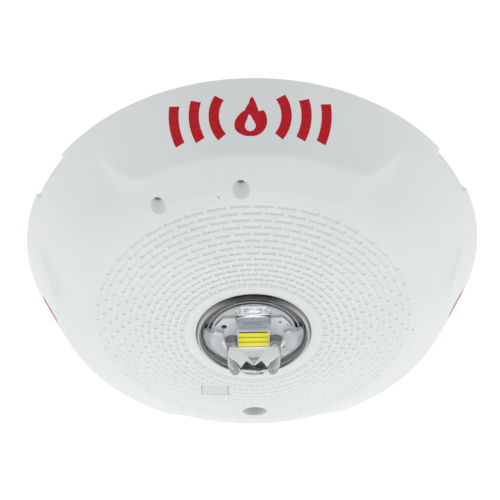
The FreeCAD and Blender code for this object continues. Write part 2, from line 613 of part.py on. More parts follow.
def optic():
    """Clear moulded optic: flange, skirt, side wings, near lobe, two posts and the prism they carry."""
    skirt = ring(OPTIC_SKIRT_R, OPTIC_BORE_R, OPTIC_RIM_Z, OPTIC_FLANGE_Z[1])
    flange = ring(OPTIC_FLANGE_R, OPTIC_BORE_R, OPTIC_FLANGE_Z[0], OPTIC_FLANGE_Z[1])
    pieces = [skirt, flange]
    foot = OPTIC_FOOT_Z
    for side in (-1, 1):
        outline = [(10.5, foot), (19.4, foot), (19.4, foot - 1.5), (17.0, foot - 5.1), (12.0, foot - 5.9)]
        wing = turned(outline, WING_SPAN[1], WING_SPAN[0])
        if side < 0:
            wing = wing.mirror(V(), V(1, 0, 0))
        pieces.append(wing)
        post_top = PRISM_HALF[0][1] - 2.0
        post = Part.makeCone(POST_R[0], POST_R[1], foot - post_top, V(side * POST_XY[0], POST_XY[1], post_top))
        pieces.append(post)
    side_view = [(LOBE_Y[0], foot), (LOBE_Y[1], foot), (LOBE_Y[1], LOBE_Z[0]), (LOBE_Y[1] - 1.6, LOBE_Z[1]),
                 (LOBE_Y[0] + 1.6, LOBE_Z[1]), (LOBE_Y[0], LOBE_Z[0])]
    corners = [V(-LOBE_X, y, z) for y, z in side_view]
    pieces.append(Part.Face(Part.makePolygon(corners + corners[:1])).extrude(V(2 * LOBE_X, 0, 0)))
    pieces.append(block((-LOBE_X / 2, LOBE_X / 2), (-OPTIC_BORE_R - 0.5, LOBE_Y[0] + 1), (foot - 0.8, foot)))
    outline = [(-x, z) for x, z in PRISM_HALF] + [(x, z) for x, z in reversed(PRISM_HALF[:-1])]
    outline += [(x, z) for x, z in PRISM_LOWER] + [(-x, z) for x, z in reversed(PRISM_LOWER[:-1])]
    corners = [V(x, PRISM_Y[0], z) for x, z in outline]
    prism = Part.Face(Part.makePolygon(corners + corners[:1]))
    pieces.append(prism.extrude(V(0, PRISM_Y[1] - PRISM_Y[0], 0)))
    return joined(pieces)


def build():
    """All nodes by name."""
    nodes = {
        "mounting_plate": mounting_plate(),
        "terminal_block": terminal_block(),
        "terminal_contacts": terminal_contacts(),
        "shorting_spring": shorting_spring(),
        "screw_insert": screw_insert(),
        "front_cover": front_cover(),
        "rear_housing": rear_housing(),
        "mounting_screw": mounting_screw(),
        "screw_retainer": screw_retainer(),
        "main_board": main_board(),
        "blade_carrier": blade_carrier(),
        "contact_blades": contact_blades(),
        "board_screws": board_screws(),
        "cover_screws": cover_screws(),
        "candela_switch": candela_switch(),
        "candela_slider": candela_slider(),
        "candela_window": candela_window(),
        "tone_switch": tone_switch(),
        "tone_dial": tone_dial(),
        "horn_chamber": horn_chamber(),
        "sounder_disc": sounder_disc(),
        "sounder_ceramic": sounder_ceramic(),
        "sounder_ring": sounder_ring(),
        "sounder_seat": sounder_seat(),
        "sounder_pins": sounder_pins(),
        "storage_capacitors": storage_capacitors(),
        "inductor_core": inductor_core(),
        "inductor_winding": inductor_winding(),
        "controller_chip": controller_chip(),
        "led_tower": led_tower(),
        "led_heat_sink": led_heat_sink(),
        "led_board": led_board(),
        "led_pins": led_pins(),
        "led_emitter": led_emitter(),
        "led_phosphor": led_phosphor(),
        "optic": optic(),
    }
    for number, y in enumerate(TERMINAL_Y, start=1):
        nodes[f"terminal_clamp_{number}"] = terminal_clamp(y)
        seat = CLAMP_Z - 1.05
        nodes[f"terminal_screw_{number}"] = pan_screw(CLAMP_X, y, seat, -3.1, 2.8, 2.1, TERMINAL_SHANK_R)
    return nodes


os.makedirs("parts", exist_ok=True)
for name, shape in build().items():
    shape.exportStep(f"parts/{name}.step")
    print(f"{name:20s} solids {len(shape.Solids)}  valid {shape.isValid()}  volume {shape.Volume:9.1f}")
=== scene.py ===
# %% [markdown]
# # A ceiling horn strobe
# This lesson finishes a packed alarm device in its own frame: metres, +Z up into the ceiling, and the
# ceiling plane at z = 0.  The device hangs below it, its main marking panel faces -Y, and its beacon
# points down.  The packed parts are the fixed frame; the pieces that a visitor sees are made again here
# as numpy surfaces, and everything gets a procedural finish.

# %% load the frame
import math
import bmesh
import bpy
import numpy as np
from mathutils import Matrix, Vector


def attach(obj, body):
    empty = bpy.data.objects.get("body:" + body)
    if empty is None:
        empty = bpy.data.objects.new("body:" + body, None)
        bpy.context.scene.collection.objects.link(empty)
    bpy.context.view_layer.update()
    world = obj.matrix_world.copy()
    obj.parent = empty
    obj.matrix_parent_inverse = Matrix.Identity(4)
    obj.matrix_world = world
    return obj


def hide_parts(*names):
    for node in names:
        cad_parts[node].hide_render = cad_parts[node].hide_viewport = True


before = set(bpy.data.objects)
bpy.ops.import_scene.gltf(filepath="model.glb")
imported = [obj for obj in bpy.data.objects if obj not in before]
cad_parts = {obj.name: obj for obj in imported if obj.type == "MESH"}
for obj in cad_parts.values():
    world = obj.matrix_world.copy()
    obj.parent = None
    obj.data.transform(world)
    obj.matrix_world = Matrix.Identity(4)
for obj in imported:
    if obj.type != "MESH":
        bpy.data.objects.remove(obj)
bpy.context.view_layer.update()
MM = 0.001
print("parts in the frame:", len(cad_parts))

# %% [markdown]
# ## Arithmetic for materials
# A `Wire` is one socket of a material's node tree.  Ordinary arithmetic on it adds Math nodes, or Vector
# Math nodes when a vector takes part, so that a pattern can be written as a formula.  Its method `make`
# adds any other node.

# %% the Wire class
class Wire:
    """A socket that can be used in arithmetic: (a + 2) * b - c adds the Math nodes it needs."""

    def __init__(self, tree, socket=None):
        self.tree = tree
        self.socket = socket

    def make(self, kind, sockets=None, out=0, **settings):
        """Add a node of any type with its settings and its socket values or links; return one output."""
        node = self.tree.nodes.new(kind)
        for name, value in settings.items():
            setattr(node, name, value)
        for name, value in (sockets or {}).items():
            if isinstance(value, Wire):
                self.tree.links.new(value.socket, node.inputs[name])
            else:
                node.inputs[name].default_value = value
        return Wire(self.tree, node.outputs[out])

    def join(self, operation, first, second):
        """One Math or Vector Math node on two terms."""
        is_vector = any(isinstance(t, Wire) and t.socket.type == "VECTOR" for t in (first, second))
        kind = "ShaderNodeVectorMath" if is_vector else "ShaderNodeMath"
        if is_vector:
            first, second = [(t, t, t) if isinstance(t, (int, float)) else t for t in (first, second)]
        return self.make(kind, {0: first, 1: second}, operation=operation)

    def __add__(self, other): return self.join("ADD", self, other)
    def __radd__(self, other): return self.join("ADD", other, self)
    def __sub__(self, other): return self.join("SUBTRACT", self, other)
    def __rsub__(self, other): return self.join("SUBTRACT", other, self)
    def __mul__(self, other): return self.join("MULTIPLY", self, other)
    def __rmul__(self, other): return self.join("MULTIPLY", other, self)
    def __truediv__(self, other): return self.join("DIVIDE", self, other)
    def __rtruediv__(self, other): return self.join("DIVIDE", other, self)
    def __mod__(self, other): return self.join("FLOORED_MODULO", self, other)
    def __abs__(self): return self.make("ShaderNodeMath", {0: self}, operation="ABSOLUTE")

    def root(self): return self.make("ShaderNodeMath", {0: self}, operation="SQRT")
    def sine(self): return self.make("ShaderNodeMath", {0: self}, operation="SINE")
    def max(self, other): return self.join("MAXIMUM", self, other)

    def rise(self, low, high):
        """0 below low, 1 above high and smooth between: s = t*t*(3 - 2*t), t = (x - low)/(high - low)."""
        return self.make("ShaderNodeMapRange", {"Value": self, "From Min": low, "From Max": high},
                         interpolation_type="SMOOTHSTEP")

    def fade(self, near, far):
        """Colour near where this is 0 and colour far where it is 1."""
        return self.make("ShaderNodeMix", {0: self, 6: near, 7: far}, out=2, data_type="RGBA")

    def parts(self):
        """The x, y and z of a vector."""
        node = self.make("ShaderNodeSeparateXYZ", {0: self}).socket.node
        return [Wire(self.tree, socket) for socket in node.outputs]

    def noise(self, scale, detail=2.0, roughness=0.5):
        """Seamless noise around 0.5 with features about 1/scale metres across."""
        sockets = {"Vector": self, "Scale": scale, "Detail": detail, "Roughness": roughness}
        return self.make("ShaderNodeTexNoise", sockets)

    def cells(self, scale):
        """Distance to the nearest point of a scatter, 1/scale metres apart."""
        return self.make("ShaderNodeTexVoronoi", {"Vector": self, "Scale": scale})


print("a Wire also knows:", [name for name in vars(Wire) if not name.startswith("__")])


# %% colours and materials
def rgb(red, green, blue):
    """A colour given as sRGB levels from 0 to 255, as the linear values that shaders use."""
    return tuple((c / 255 / 12.92 if c <= 10 else ((c / 255 + 0.055) / 1.055) ** 2.4)
                 for c in (red, green, blue)) + (1.0,)


def finish(name, paint, **constants):
    """A material on a Principled shader, whose fixed sockets are given as constants.

    paint(place) returns what varies as {socket: Wire or colour}, with a height and its depth for a bump.
    """
    material = bpy.data.materials.new(name)
    material.use_nodes = True
    tree = material.node_tree
    shader = tree.nodes["Principled BSDF"]
    for key, value in constants.items():
        shader.inputs[key.replace("_", " ")].default_value = value
    place = Wire(tree).make("ShaderNodeTexCoord", out=3)
    varied = paint(place)
    height = varied.pop("height", None)
    depth = varied.pop("depth", 0.0001)
    for key, value in varied.items():
        if isinstance(value, Wire):
            tree.links.new(value.socket, shader.inputs[key])
        else:
            shader.inputs[key].default_value = value
    if height is not None:
        bump = height.make("ShaderNodeBump", {"Height": height, "Distance": depth, "Strength": 1.0})
        tree.links.new(bump.socket, shader.inputs["Normal"])
    return material


print("sRGB 128 is", round(rgb(128, 128, 128)[0], 3), "on the linear scale")

# %% [markdown]
# ## Finishes
# Each finish starts from what the stuff is and how it was made: spark-eroded mould grain on the white
# plastic, turning rings on the sounder's disc, brushed strips, a woven circuit board, wound copper.

# %% plastics, rubber and ceramic
def moulded(name, colour, grain=1.0, rough=0.42, **constants):
    """Moulded plastic: a fine eroded grain, and a slow drift of tone from flow in the mould."""
    def paint(place):
        drift = place.noise(28.0, 2.0)
        fine = place.noise(5200.0, 3.0, 0.6)
        pits = place.cells(3300.0)
        tone = (drift * 0.6 + fine * 0.25 + 0.35).rise(0.55, 1.0)
        low = tuple(c * 0.955 for c in colour[:3]) + (1.0,)
        return {"Base Color": tone.fade(low, colour),
                "Roughness": (fine - 0.5) * 0.16 + (drift - 0.5) * 0.08 + rough,
                "height": fine * 0.7 + pits * 0.3, "depth": 0.000012 * grain}
    return finish(name, paint, **constants)


COVER_WHITE = moulded("cover white", rgb(227, 229, 230), 1.0, 0.46, Specular_IOR_Level=0.35)
HOUSING_WHITE = moulded("housing white", rgb(218, 219, 217), 1.6, 0.55)
PLATE_WHITE = moulded("plate white", rgb(222, 222, 219), 1.4, 0.5)
CARRIER_BLACK = moulded("carrier black", rgb(34, 34, 36), 1.5, 0.5)
BLOCK_BLACK = moulded("block black", rgb(30, 31, 33), 2.0, 0.42)
CHAMBER_BLACK = moulded("chamber black", rgb(26, 26, 27), 1.8, 0.55)
TOWER_BLACK = moulded("tower black", rgb(28, 28, 30), 1.2, 0.48)
SWITCH_BLUE = moulded("switch blue", rgb(38, 74, 128), 1.0, 0.4)
SLIDER_WHITE = moulded("slider white", rgb(214, 215, 212), 1.0, 0.45)
DIAL_GREY = moulded("dial grey", rgb(152, 154, 156), 1.2, 0.45)
RETAINER_NYLON = moulded("retainer nylon", rgb(226, 222, 206), 0.8, 0.5)
CHIP_BLACK = moulded("chip black", rgb(24, 24, 25), 2.6, 0.62)
RING_RUBBER = moulded("ring rubber", rgb(42, 42, 43), 2.2, 0.72)
CERAMIC_CREAM = moulded("ceramic cream", rgb(226, 219, 198), 0.9, 0.34)
EMITTER_CERAMIC = moulded("emitter ceramic", rgb(236, 236, 230), 0.8, 0.4)
print("plastics made")


# %% metals
def turned_metal(name, colour, rough=0.3, lay="noise", centre=(0.0, 0.0)):
    """Bare metal: rings left by turning, or strokes left by rolling along Y, with a soft tarnish."""
    def paint(place):
        tarnish = place.noise(420.0, 3.0, 0.6)
        if lay == "rings":
            x, y = place.parts()[:2]
            dx, dy = x - centre[0], y - centre[1]
            radius = (dx * dx + dy * dy).root()
            strokes = (radius * 30000.0 + tarnish * 2.0).sine() * 0.5 + 0.5
        elif lay == "strokes":
            stretched = place * (9000.0, 500.0, 9000.0)
            strokes = stretched.noise(1.0, 2.0)
        else:
            strokes = place.noise(3600.0, 3.0, 0.6)
        dull = tuple(c * 0.72 for c in colour[:3]) + (1.0,)
        return {"Base Color": (tarnish * 0.8 + strokes * 0.2).rise(0.3, 0.62).fade(dull, colour),
                "Roughness": (strokes - 0.5) * 0.14 + (tarnish - 0.5) * 0.18 + rough,
                "height": strokes, "depth": 0.000004}
    return finish(name, paint, Metallic=1.0)


# the turning rings on the sounder's disc are centred on the horn, whose place is given in metres
HORN_CENTRE = (-0.01268, -0.04213)
SCREW_ZINC = turned_metal("zinc-plated steel", rgb(196, 199, 202), 0.3)
SCREW_STEEL = turned_metal("plain steel", rgb(168, 170, 172), 0.34)
CLAMP_ZINC = turned_metal("clamp zinc", rgb(190, 193, 192), 0.36, "strokes")
BLADE_TIN = turned_metal("tinned blade", rgb(206, 208, 208), 0.26, "strokes")
CONTACT_BRASS = turned_metal("contact brass", rgb(206, 172, 96), 0.28, "strokes")
SPRING_BRONZE = turned_metal("spring bronze", rgb(190, 138, 92), 0.3, "strokes")
CAN_ALUMINIUM = turned_metal("can aluminium", rgb(186, 189, 193), 0.34)
DISC_BRASS = turned_metal("disc brass", rgb(212, 178, 102), 0.24, "rings", HORN_CENTRE)
PINS_GOLD = turned_metal("gilt pins", rgb(218, 186, 110), 0.22)
print("bare metals made")

# %% [markdown]
# The heat sink is turned and then anodised black, except for the seat that the LED board lies on and one ring
# cut afterwards.  Four holes pass through the board and the sink, so both finishes paint shade dark in them
# at the same places.

# %% the heat sink's finish
HOLES = ((-10.7, -4.1), (-12.9, -0.6), (13.3, -0.5), (11.6, 6.0))
SEAT_R, CUT_RING_R = 14.6, 16.05


def spots(place, centres, radius):
    """1 inside a disc of the radius, in mm, round each centre, and 0 outside."""
    x, y = place.parts()[:2]
    found = None
    for cx, cy in centres:
        dx, dy = x - cx * MM, y - cy * MM
        disc = 1.0 - (dx * dx + dy * dy).rise((0.8 * radius * MM) ** 2, (radius * MM) ** 2)
        found = disc if found is None else found.max(disc)
    return found


def sink_paint(place):
    """Bright inside the seat's radius and on the cut ring, black anodised elsewhere, and painted shade dark
    in the holes.
    """
    x, y = place.parts()[:2]
    radius = (x * x + y * y).root()
    beyond_seat = radius.rise((SEAT_R - 0.1) * MM, (SEAT_R + 0.1) * MM)
    off_ring = abs(radius - CUT_RING_R * MM).rise(0.12 * MM, 0.24 * MM)
    rings = (radius * 26000.0).sine() * 0.5 + 0.5
    grain = place.noise(3000.0, 3.0)
    bright = (rings * 0.5 + grain * 0.5).rise(0.2, 0.8).fade(rgb(198, 201, 204), rgb(226, 229, 231))
    # dark is the black anodise, and painted shade in the holes
    dark = (beyond_seat * off_ring).max(spots(place, HOLES, 1.1))
    return {"Base Color": dark.fade(bright, grain.fade(rgb(22, 23, 24), rgb(38, 39, 40))),
            "Roughness": grain * 0.15 + 0.32, "height": rings * 0.5 + grain * 0.5, "depth": 0.000006}


SINK_BLACK = finish("heat sink", sink_paint)
print("seat radius in mm:", SEAT_R)

# %% ferrite, winding and circuit boards
WIRE_PITCH = 0.42


def ferrite(place):
    """Sintered grey-black ceramic with bright grains."""
    grains = place.cells(2600.0)
    return {"Base Color": grains.rise(0.1, 0.5).fade(rgb(74, 74, 78), rgb(38, 38, 41)),
            "Roughness": grains * 0.3 + 0.4, "height": grains, "depth": 0.00002}


def winding(place):
    """Turns of enamelled wire stacked along Z: a rounded ridge at every WIRE_PITCH, darker in the grooves
    between turns as painted shade.
    """
    z = place.parts()[2]
    turn = (z / (WIRE_PITCH * MM)) % 1.0
    bulge = 1.0 - abs(turn - 0.5) * abs(turn - 0.5) * 4.0
    shine = place.noise(900.0, 2.0)
    # The colour darkens in the grooves between turns: painted shade.
    return {"Base Color": bulge.rise(0.1, 0.7).fade(rgb(70, 30, 14), rgb(196, 108, 58)),
            "Roughness": shine * 0.15 + 0.2, "height": bulge, "depth": 0.00012}


def board_paint(mask, copper, hole_pitch):
    """A circuit board: woven glass, tracks a little lighter than the mask, and rows of small vias."""
    def paint(place):
        x, y = place.parts()[:2]
        weave = (x * 2600.0).sine() * (y * 2600.0).sine()
        lanes = abs(((x + y * 0.35) / (2.6 * MM)) % 1.0 - 0.5)
        sides = abs(((y - x * 0.2) / (5.2 * MM)) % 1.0 - 0.5)
        patch = place.noise(120.0, 1.0).rise(0.46, 0.54)
        track = (lanes.rise(0.2, 0.24) * patch).max(sides.rise(0.36, 0.4) * (1.0 - patch))
        vx = abs((x / hole_pitch) % 1.0 - 0.5)
        vy = abs((y / hole_pitch) % 1.0 - 0.5)
        via = 1.0 - (vx * vx + vy * vy).rise(0.004, 0.008)
        drilled = via * place.noise(300.0, 1.0).rise(0.52, 0.56)
        return {"Base Color": drilled.fade(track.fade(mask, copper), rgb(196, 190, 170)),
                "Roughness": track * 0.1 + weave * 0.03 + 0.33,
                "height": track + weave * 0.15, "depth": 0.00003}
    return paint


FERRITE = finish("ferrite", ferrite)
WINDING = finish("enamelled copper", winding, Metallic=0.85, Coat_Weight=0.4)
BOARD_GREEN = finish("main board", board_paint(rgb(22, 82, 48), rgb(44, 118, 70), 6.1 * MM))
print("boards made")

# %% [markdown]
# ## Surfaces
# A surface is a grid of points: rows along a profile, columns around it.  The helper below turns such a
# grid into a mesh.  It can close the grid round the columns, round the rows, or with one face at each end.

# %% grid to mesh
SHARP = math.radians(30)


def mesh_from_grid(name, points, around=True, rows_closed=False, caps=(False, False), sharp=SHARP):
    """A mesh on points[row, column] = (x, y, z) in mm: quads join row i to i + 1 and column j to j + 1."""
    rows, columns = points.shape[:2]
    index = np.arange(rows * columns).reshape(rows, columns)
    lower = np.vstack([index, index[:1]]) if rows_closed else index
    wide = np.hstack([lower, lower[:, :1]]) if around else lower
    quads = np.stack([wide[:-1, :-1], wide[:-1, 1:], wide[1:, 1:], wide[1:, :-1]], -1).reshape(-1, 4)
    vertices = points.reshape(-1, 3)
    faces = [tuple(q) for q in quads.tolist()]
    for which, wanted in zip((0, -1), caps):
        if wanted:
            loop = index[which].tolist()
            faces.append(tuple(reversed(loop)) if which == 0 else tuple(loop))
    mesh = bpy.data.meshes.new(name)
    mesh.from_pydata((vertices * MM).tolist(), [], faces)
    mesh.update()
    return settle(name, mesh, sharp)


def settle(name, mesh, sharp=SHARP):
    """Turn the faces outwards, mark the edges sharper than the angle and return the object."""
    work = bmesh.new()
    work.from_mesh(mesh)
    bmesh.ops.recalc_face_normals(work, faces=work.faces)
    if work.calc_volume(signed=True) < 0:
        bmesh.ops.reverse_faces(work, faces=work.faces)
    work.to_mesh(mesh)
    work.free()
    mesh.shade_smooth()
    mesh.set_sharp_from_angle(angle=sharp)
    obj = bpy.data.objects.new(name, mesh)
    bpy.context.scene.collection.objects.link(obj)
    return obj


def lathe(name, profile, columns=128, closed=True, centre=(0.0, 0.0), sharp=SHARP):
    """Turn a profile of (radius, height) pairs about Z: x = cx + r*sin(a), y = cy - r*cos(a)."""
    r, z = np.array(profile, float).T
    a = np.arange(columns) * 2 * np.pi / columns
    x = centre[0] + r[:, None] * np.sin(a)
    y = centre[1] - r[:, None] * np.cos(a)
    grid = np.stack([x, y, np.repeat(z[:, None], columns, 1)], -1)
    caps = (False, False) if closed else (True, True)
    return mesh_from_grid(name, grid, rows_closed=closed, caps=caps, sharp=sharp)


print("edges are sharp from", round(math.degrees(SHARP)), "degrees")


# %% join, cut and dress a piece
def carve(obj, cutters, operation="DIFFERENCE", sharp=SHARP):
    """Cut the shapes from a piece, or with UNION join them to it, and remove the shapes afterwards."""
    for cutter in cutters:
        modifier = obj.modifiers.new("cut", "BOOLEAN")
        modifier.operation = operation
        modifier.solver = "EXACT"
        modifier.object = cutter
    bpy.context.view_layer.update()
    done = bpy.data.meshes.new_from_object(obj.evaluated_get(bpy.context.evaluated_depsgraph_get()))
    obj.modifiers.clear()
    obj.data = done
    for cutter in cutters:
        bpy.data.objects.remove(cutter)
    done.shade_smooth()
    done.set_sharp_from_angle(angle=sharp)
    return obj


def dress(obj, material, slot=None, body="device", *nodes):
    """Give a finished piece its material and its body, and hide the frame nodes it stands for; slot is not
    used.
    """
    obj.data.materials.clear()
    obj.data.materials.append(material)
    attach(obj, body)
    if nodes:
        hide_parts(*nodes)
    obj.data.calc_loop_triangles()
    print(f"{obj.name}: {len(obj.data.loop_triangles)} triangles")
    return obj


def ramp(x, low, high):
    """Smooth step from 0 at low to 1 at high."""
    t = np.clip((x - low) / (high - low), 0, 1)
    return t * t * (3 - 2 * t)


print("ramp at a quarter, half and three quarters:", ramp(np.array([0.25, 0.5, 0.75]), 0, 1).round(3))

# %% [markdown]
# ## The front cover
# Seen from below, the cover is a shallow dome with rows of slots, a cone round it, and a steep wall with
# three marking panels.  Between the panels three ears bend down from the cone towards the rim.  Its
# depth h below the ceiling is the lesser of a wall and a face, blended over half a millimetre:
# `h = -k*log(exp(-wall/k) + exp(-face/k))`.

# %% the cover's form
RIM_R, RIM_H = 86.5, 2.0
RIDGE_R, RIDGE_H = 73.9, 27.4
DOME_R, CROWN_H = 63.0, 43.6
DOME_SLOPE, DOME_BEND_R, DOME_SOFTNESS = 0.405, 39.05, 3.5
EAR_BREAK_R, EAR_SLOPE, EAR_SOFTNESS = 69.0, 0.904, 0.9
PANELS = 3
HOLE_R, FLARE_R = 19.5, 21.2
SHELL = 2.0
COVER_SHARP = math.radians(28)


def softly_past(r, bend, softness):
    """How far r is past the bend, with a soft start: s*log(1 + exp((r - bend)/s))."""
    return softness * np.log1p(np.exp((r - bend) / softness))


def dome_h(r):
    """Depth of the dome: level in the middle, and an even slope past the bend."""
    return CROWN_H - DOME_SLOPE * softly_past(r, DOME_BEND_R, DOME_SOFTNESS)


EDGE_H = float(dome_h(DOME_R))
WALL_SLOPE = (RIDGE_H - RIM_H) / (RIM_R - RIDGE_R)
CONE_SLOPE = (EDGE_H - RIDGE_H) / (RIDGE_R - DOME_R)


def ear(a):
    """0 on a panel and 1 on an ear, by the angle off the panel's middle: from 30 to 43 degrees it changes."""
    apart = 360 / PANELS
    off = np.abs((np.degrees(a) + apart / 2) % apart - apart / 2)
    return ramp(off, 30, 43)


def face_h(r, a):
    """Depth of the cone, and of the ears that fall away from it past their break."""
    return EDGE_H - CONE_SLOPE * (r - DOME_R) - ear(a) * EAR_SLOPE * softly_past(r, EAR_BREAK_R, EAR_SOFTNESS)


def wall_h(r):
    """Depth of the wall: straight from the rim."""
    return RIM_H + WALL_SLOPE * (RIM_R - r)


def outside_h(r, a, k=0.45):
    """Depth of the whole outside beyond the dome."""
    wall, face = wall_h(r), face_h(r, a)
    low = np.minimum(wall, face)
    return low - k * np.log(np.exp(-(wall - low) / k) + np.exp(-(face - low) / k))


def ridge_radius(a):
    """Where wall and face meet, found by halving."""
    low = np.full_like(a, 70.0)
    high = np.full_like(a, RIM_R)
    for _ in range(30):
        middle = (low + high) / 2
        inside = wall_h(middle) > face_h(middle, a)
        low = np.where(inside, middle, low)
        high = np.where(inside, high, middle)
    return (low + high) / 2


print("depth of the dome's edge in mm:", round(EDGE_H, 2))

# %% [markdown]
# ### The slots
# Fourteen rings of 44 blind slots, every other ring turned by half a slot.  Across a slot the surface
# sinks on a slow ramp and comes back in one sharp step on the side nearer the beacon.

# %% the slots' pattern
RINGS, SLOTS, RING_PITCH, RING_1 = 14, 44, 2.392, 57.1
SLOT_DEPTH = 0.5
SLOT_SECTION = ((-0.5, 0.0), (-0.08, 0.0), (0.08, 1.0), (0.7, 0.84), (1.15, 0.5), (1.5, 0.0))
SCREW_XY = (0.0, 50.0)
WINDOW = (-15.0, 32.0, 10.6, 6.2)


def slot_share(ring, a):
    """1 along a slot and 0 in the gaps between slots, whose ends take 0.04 of a pitch."""
    phase = (a * SLOTS / (2 * np.pi) + (0.5 if ring % 2 else 0.0)) % 1.0
    off = np.abs((phase + 0.5) % 1.0 - 0.5)
    return ramp(0.42 - off, 0.0, 0.04)


def keep_out(x, y):
    """0 close to the screw well and the setting window, 1 elsewhere."""
    well = ramp(np.hypot(x - SCREW_XY[0], y - SCREW_XY[1]), 5.6, 6.0)
    wx = np.abs(x - WINDOW[0]) - WINDOW[2] / 2
    wy = np.abs(y - WINDOW[1]) - WINDOW[3] / 2
    return well * ramp(np.maximum(wx, wy), 0.5, 0.9)


print("slots:", RINGS * SLOTS)

# %% [markdown]
# ### The rows of the cover
# Its grid starts inside the beacon opening, runs over the flare, a thin groove, the dome, the cone and the
# wall to the rim, and comes back inside at the shell's thickness, so that it closes on itself.

# %% the cover's grid
FLARE_ROWS = ((HOLE_R, 3.0), (FLARE_R - 0.5, 2.2), (FLARE_R - 0.2, 0.7), (FLARE_R, 0.2),
              (FLARE_R + 0.15, 0.05), (FLARE_R + 0.4, 0.0))
GROOVE_ROWS = ((23.2, 0), (24.6, 0), (25.1, 0), (25.3, 0.22), (25.6, 0.22), (25.8, 0))
DOME_START_R = 26.0
CONE_SHARES = (0.03, 0.12, 0.3, 0.45, 0.52, 0.58, 0.66, 0.78, 0.88, 0.94, 0.97, 0.985, 1.0)
WALL_SHARES = (0.03, 0.07, 0.13, 0.25, 0.4, 0.55, 0.68, 0.7, 0.85, 0.97, 1.0)
NOTCH_DEPTH, NOTCH_START = 1.3, 0.7
DOME_EDGE_ROWS = (59.6, 60.8, 62.0, 62.7)
INSIDE_ROWS = (70.0, 66.0, 63.0, 58.0, 50.0, 42.0, 34.0, 26.0)
WALL_IN, WALL_UP = 2.1, 0.6
# the columns crowd at the ends of the slots, as shares of the slots' pitch
steps = np.array([0, .08, .12, .25, .38, .42, .5, .58, .62, .75, .88, .92])
angle = ((np.arange(SLOTS)[:, None] + steps).ravel()) * 2 * np.pi / SLOTS
count = len(angle)
rows = []


def add_row(radius, height, sink=None):
    """Append one row of the cover: a radius and a depth for each column, less a sink into the shell."""
    r = np.broadcast_to(radius, (count,)).astype(float)
    h = np.broadcast_to(height, (count,)).astype(float)
    x, y = r * np.sin(angle), -r * np.cos(angle)
    if sink is not None:
        h = h - sink * keep_out(x, y)
    rows.append(np.stack([x, y, -h], -1))


flare_h = float(dome_h(FLARE_R))
add_row(HOLE_R + 0.1, flare_h - 3.3)
for r, above in FLARE_ROWS:
    add_row(r, flare_h - above)
for r, groove in GROOVE_ROWS:
    add_row(r, dome_h(r) - groove)
for ring in range(RINGS, 0, -1):
    r = RING_1 - RING_PITCH * (ring - 1)
    share = slot_share(ring, angle)
    for off, sunk in SLOT_SECTION:
        if r + off > DOME_START_R:
            add_row(r + off, dome_h(r + off), SLOT_DEPTH * sunk * share)
for r in DOME_EDGE_ROWS:
    add_row(r, dome_h(r))
ridge = ridge_radius(angle)
for u in CONE_SHARES:
    r = DOME_R + u * (ridge - DOME_R)
    add_row(r, outside_h(r, angle))
notch_off = np.abs(np.degrees(angle) % (360 / PANELS) - 180 / PANELS)
notch = NOTCH_DEPTH * (1 - ramp(notch_off, 7.0, 7.6))
for w in WALL_SHARES:
    r = ridge + w * (RIM_R - ridge)
    cut = notch * (w >= NOTCH_START)
    add_row(r - cut, outside_h(r, angle))
add_row(RIM_R - notch - 0.35, RIM_H)
add_row(RIM_R - notch - SHELL, RIM_H)
for w in (0.75, 0.5, 0.25, 0.0):
    r = ridge + w * (RIM_R - ridge)
    add_row(r - WALL_IN - notch * 0.7 * (w > 0.5), outside_h(r, angle) - WALL_UP)
for r in INSIDE_ROWS:
    add_row(r - 0.8, (outside_h(np.full(count, r), angle) if r > 63 else dome_h(r)) - SHELL)
cover_grid = np.array(rows)
front_cover = mesh_from_grid("front_cover_piece", cover_grid, rows_closed=True, sharp=COVER_SHARP)
print("cover grid:", cover_grid.shape)


# %% [markdown]
# ### Ports, well and window
# Two sound ports flare at the edge of the dome, one screw well is sunk through it, and a small window
# shows the brightness setting.  Bosses are joined to the inside first, and then all are cut.  The well's bore
# is wider than the screw's head and its boss stops short of the retainer, so the screw can back out.

# %% bosses behind the ports and the well
def polar(radius, degrees):
    """Point on a circle: 0 degrees at -Y, 90 degrees at +X."""
    a = math.radians(degrees)
    return radius * math.sin(a), -radius * math.cos(a)


def surface_h(x, y):
    """Depth of the cover's outside below the ceiling at a point."""
    r = np.hypot(x, y)
    return np.where(r > DOME_R, outside_h(r, np.arctan2(x, -y)), dome_h(r))


def boss(centre, profile, columns=48):
    """A boss that starts 1 mm inside the shell and follows its slope; then (radius, height) pairs."""
    a = np.arange(columns) * 2 * np.pi / columns
    rows = []
    for r in (0.01, profile[0][0]):
        x, y = centre[0] + r * np.sin(a), centre[1] - r * np.cos(a)
        rows.append(np.stack([x, y, 1.0 - surface_h(x, y)], -1))
    for r, z in profile[1:]:
        x, y = centre[0] + r * np.sin(a), centre[1] - r * np.cos(a)
        rows.append(np.stack([x, y, np.full(columns, z)], -1))
    return mesh_from_grid("boss", np.array(rows), caps=(True, True))


PORTS = [polar(63.7, -3.2), polar(64.9, -30.2)]
MOUTH_Z = -EDGE_H + CONE_SLOPE * 0.9
PORT_BOSS = [(4.6, 0), (3.6, MOUTH_Z + 3.0), (2.4, MOUTH_Z + 5.2), (2.4, -27.2)]
WELL_BOSS = [(5.9, 0), (5.9, -36.0), (5.9, -20.8)]
bosses = [boss(at, PORT_BOSS) for at in PORTS]
bosses.append(boss(SCREW_XY, WELL_BOSS, 64))
carve(front_cover, bosses, "UNION")
print("front cover with its bosses:", len(front_cover.data.polygons), "faces")

# %% cut the ports, the well, the window and two gate marks
AXIS = 0.01
BOWL = [(3.9, -6), (3.85, -2.2), (3.5, -1.1), (3.0, 0.2), (2.45, 1.3), (1.9, 2.2), (1.4, 3.0), (1.1, 3.5)]
WELL = [(4.85, -60), (4.85, -38.2), (4.55, -37.4), (4.0, -34.9), (4.0, -22.1), (2.4, -22.1), (2.4, -18.0)]
GATE_MARKS = (polar(61.4, -10.6), polar(60.4, 98.0))


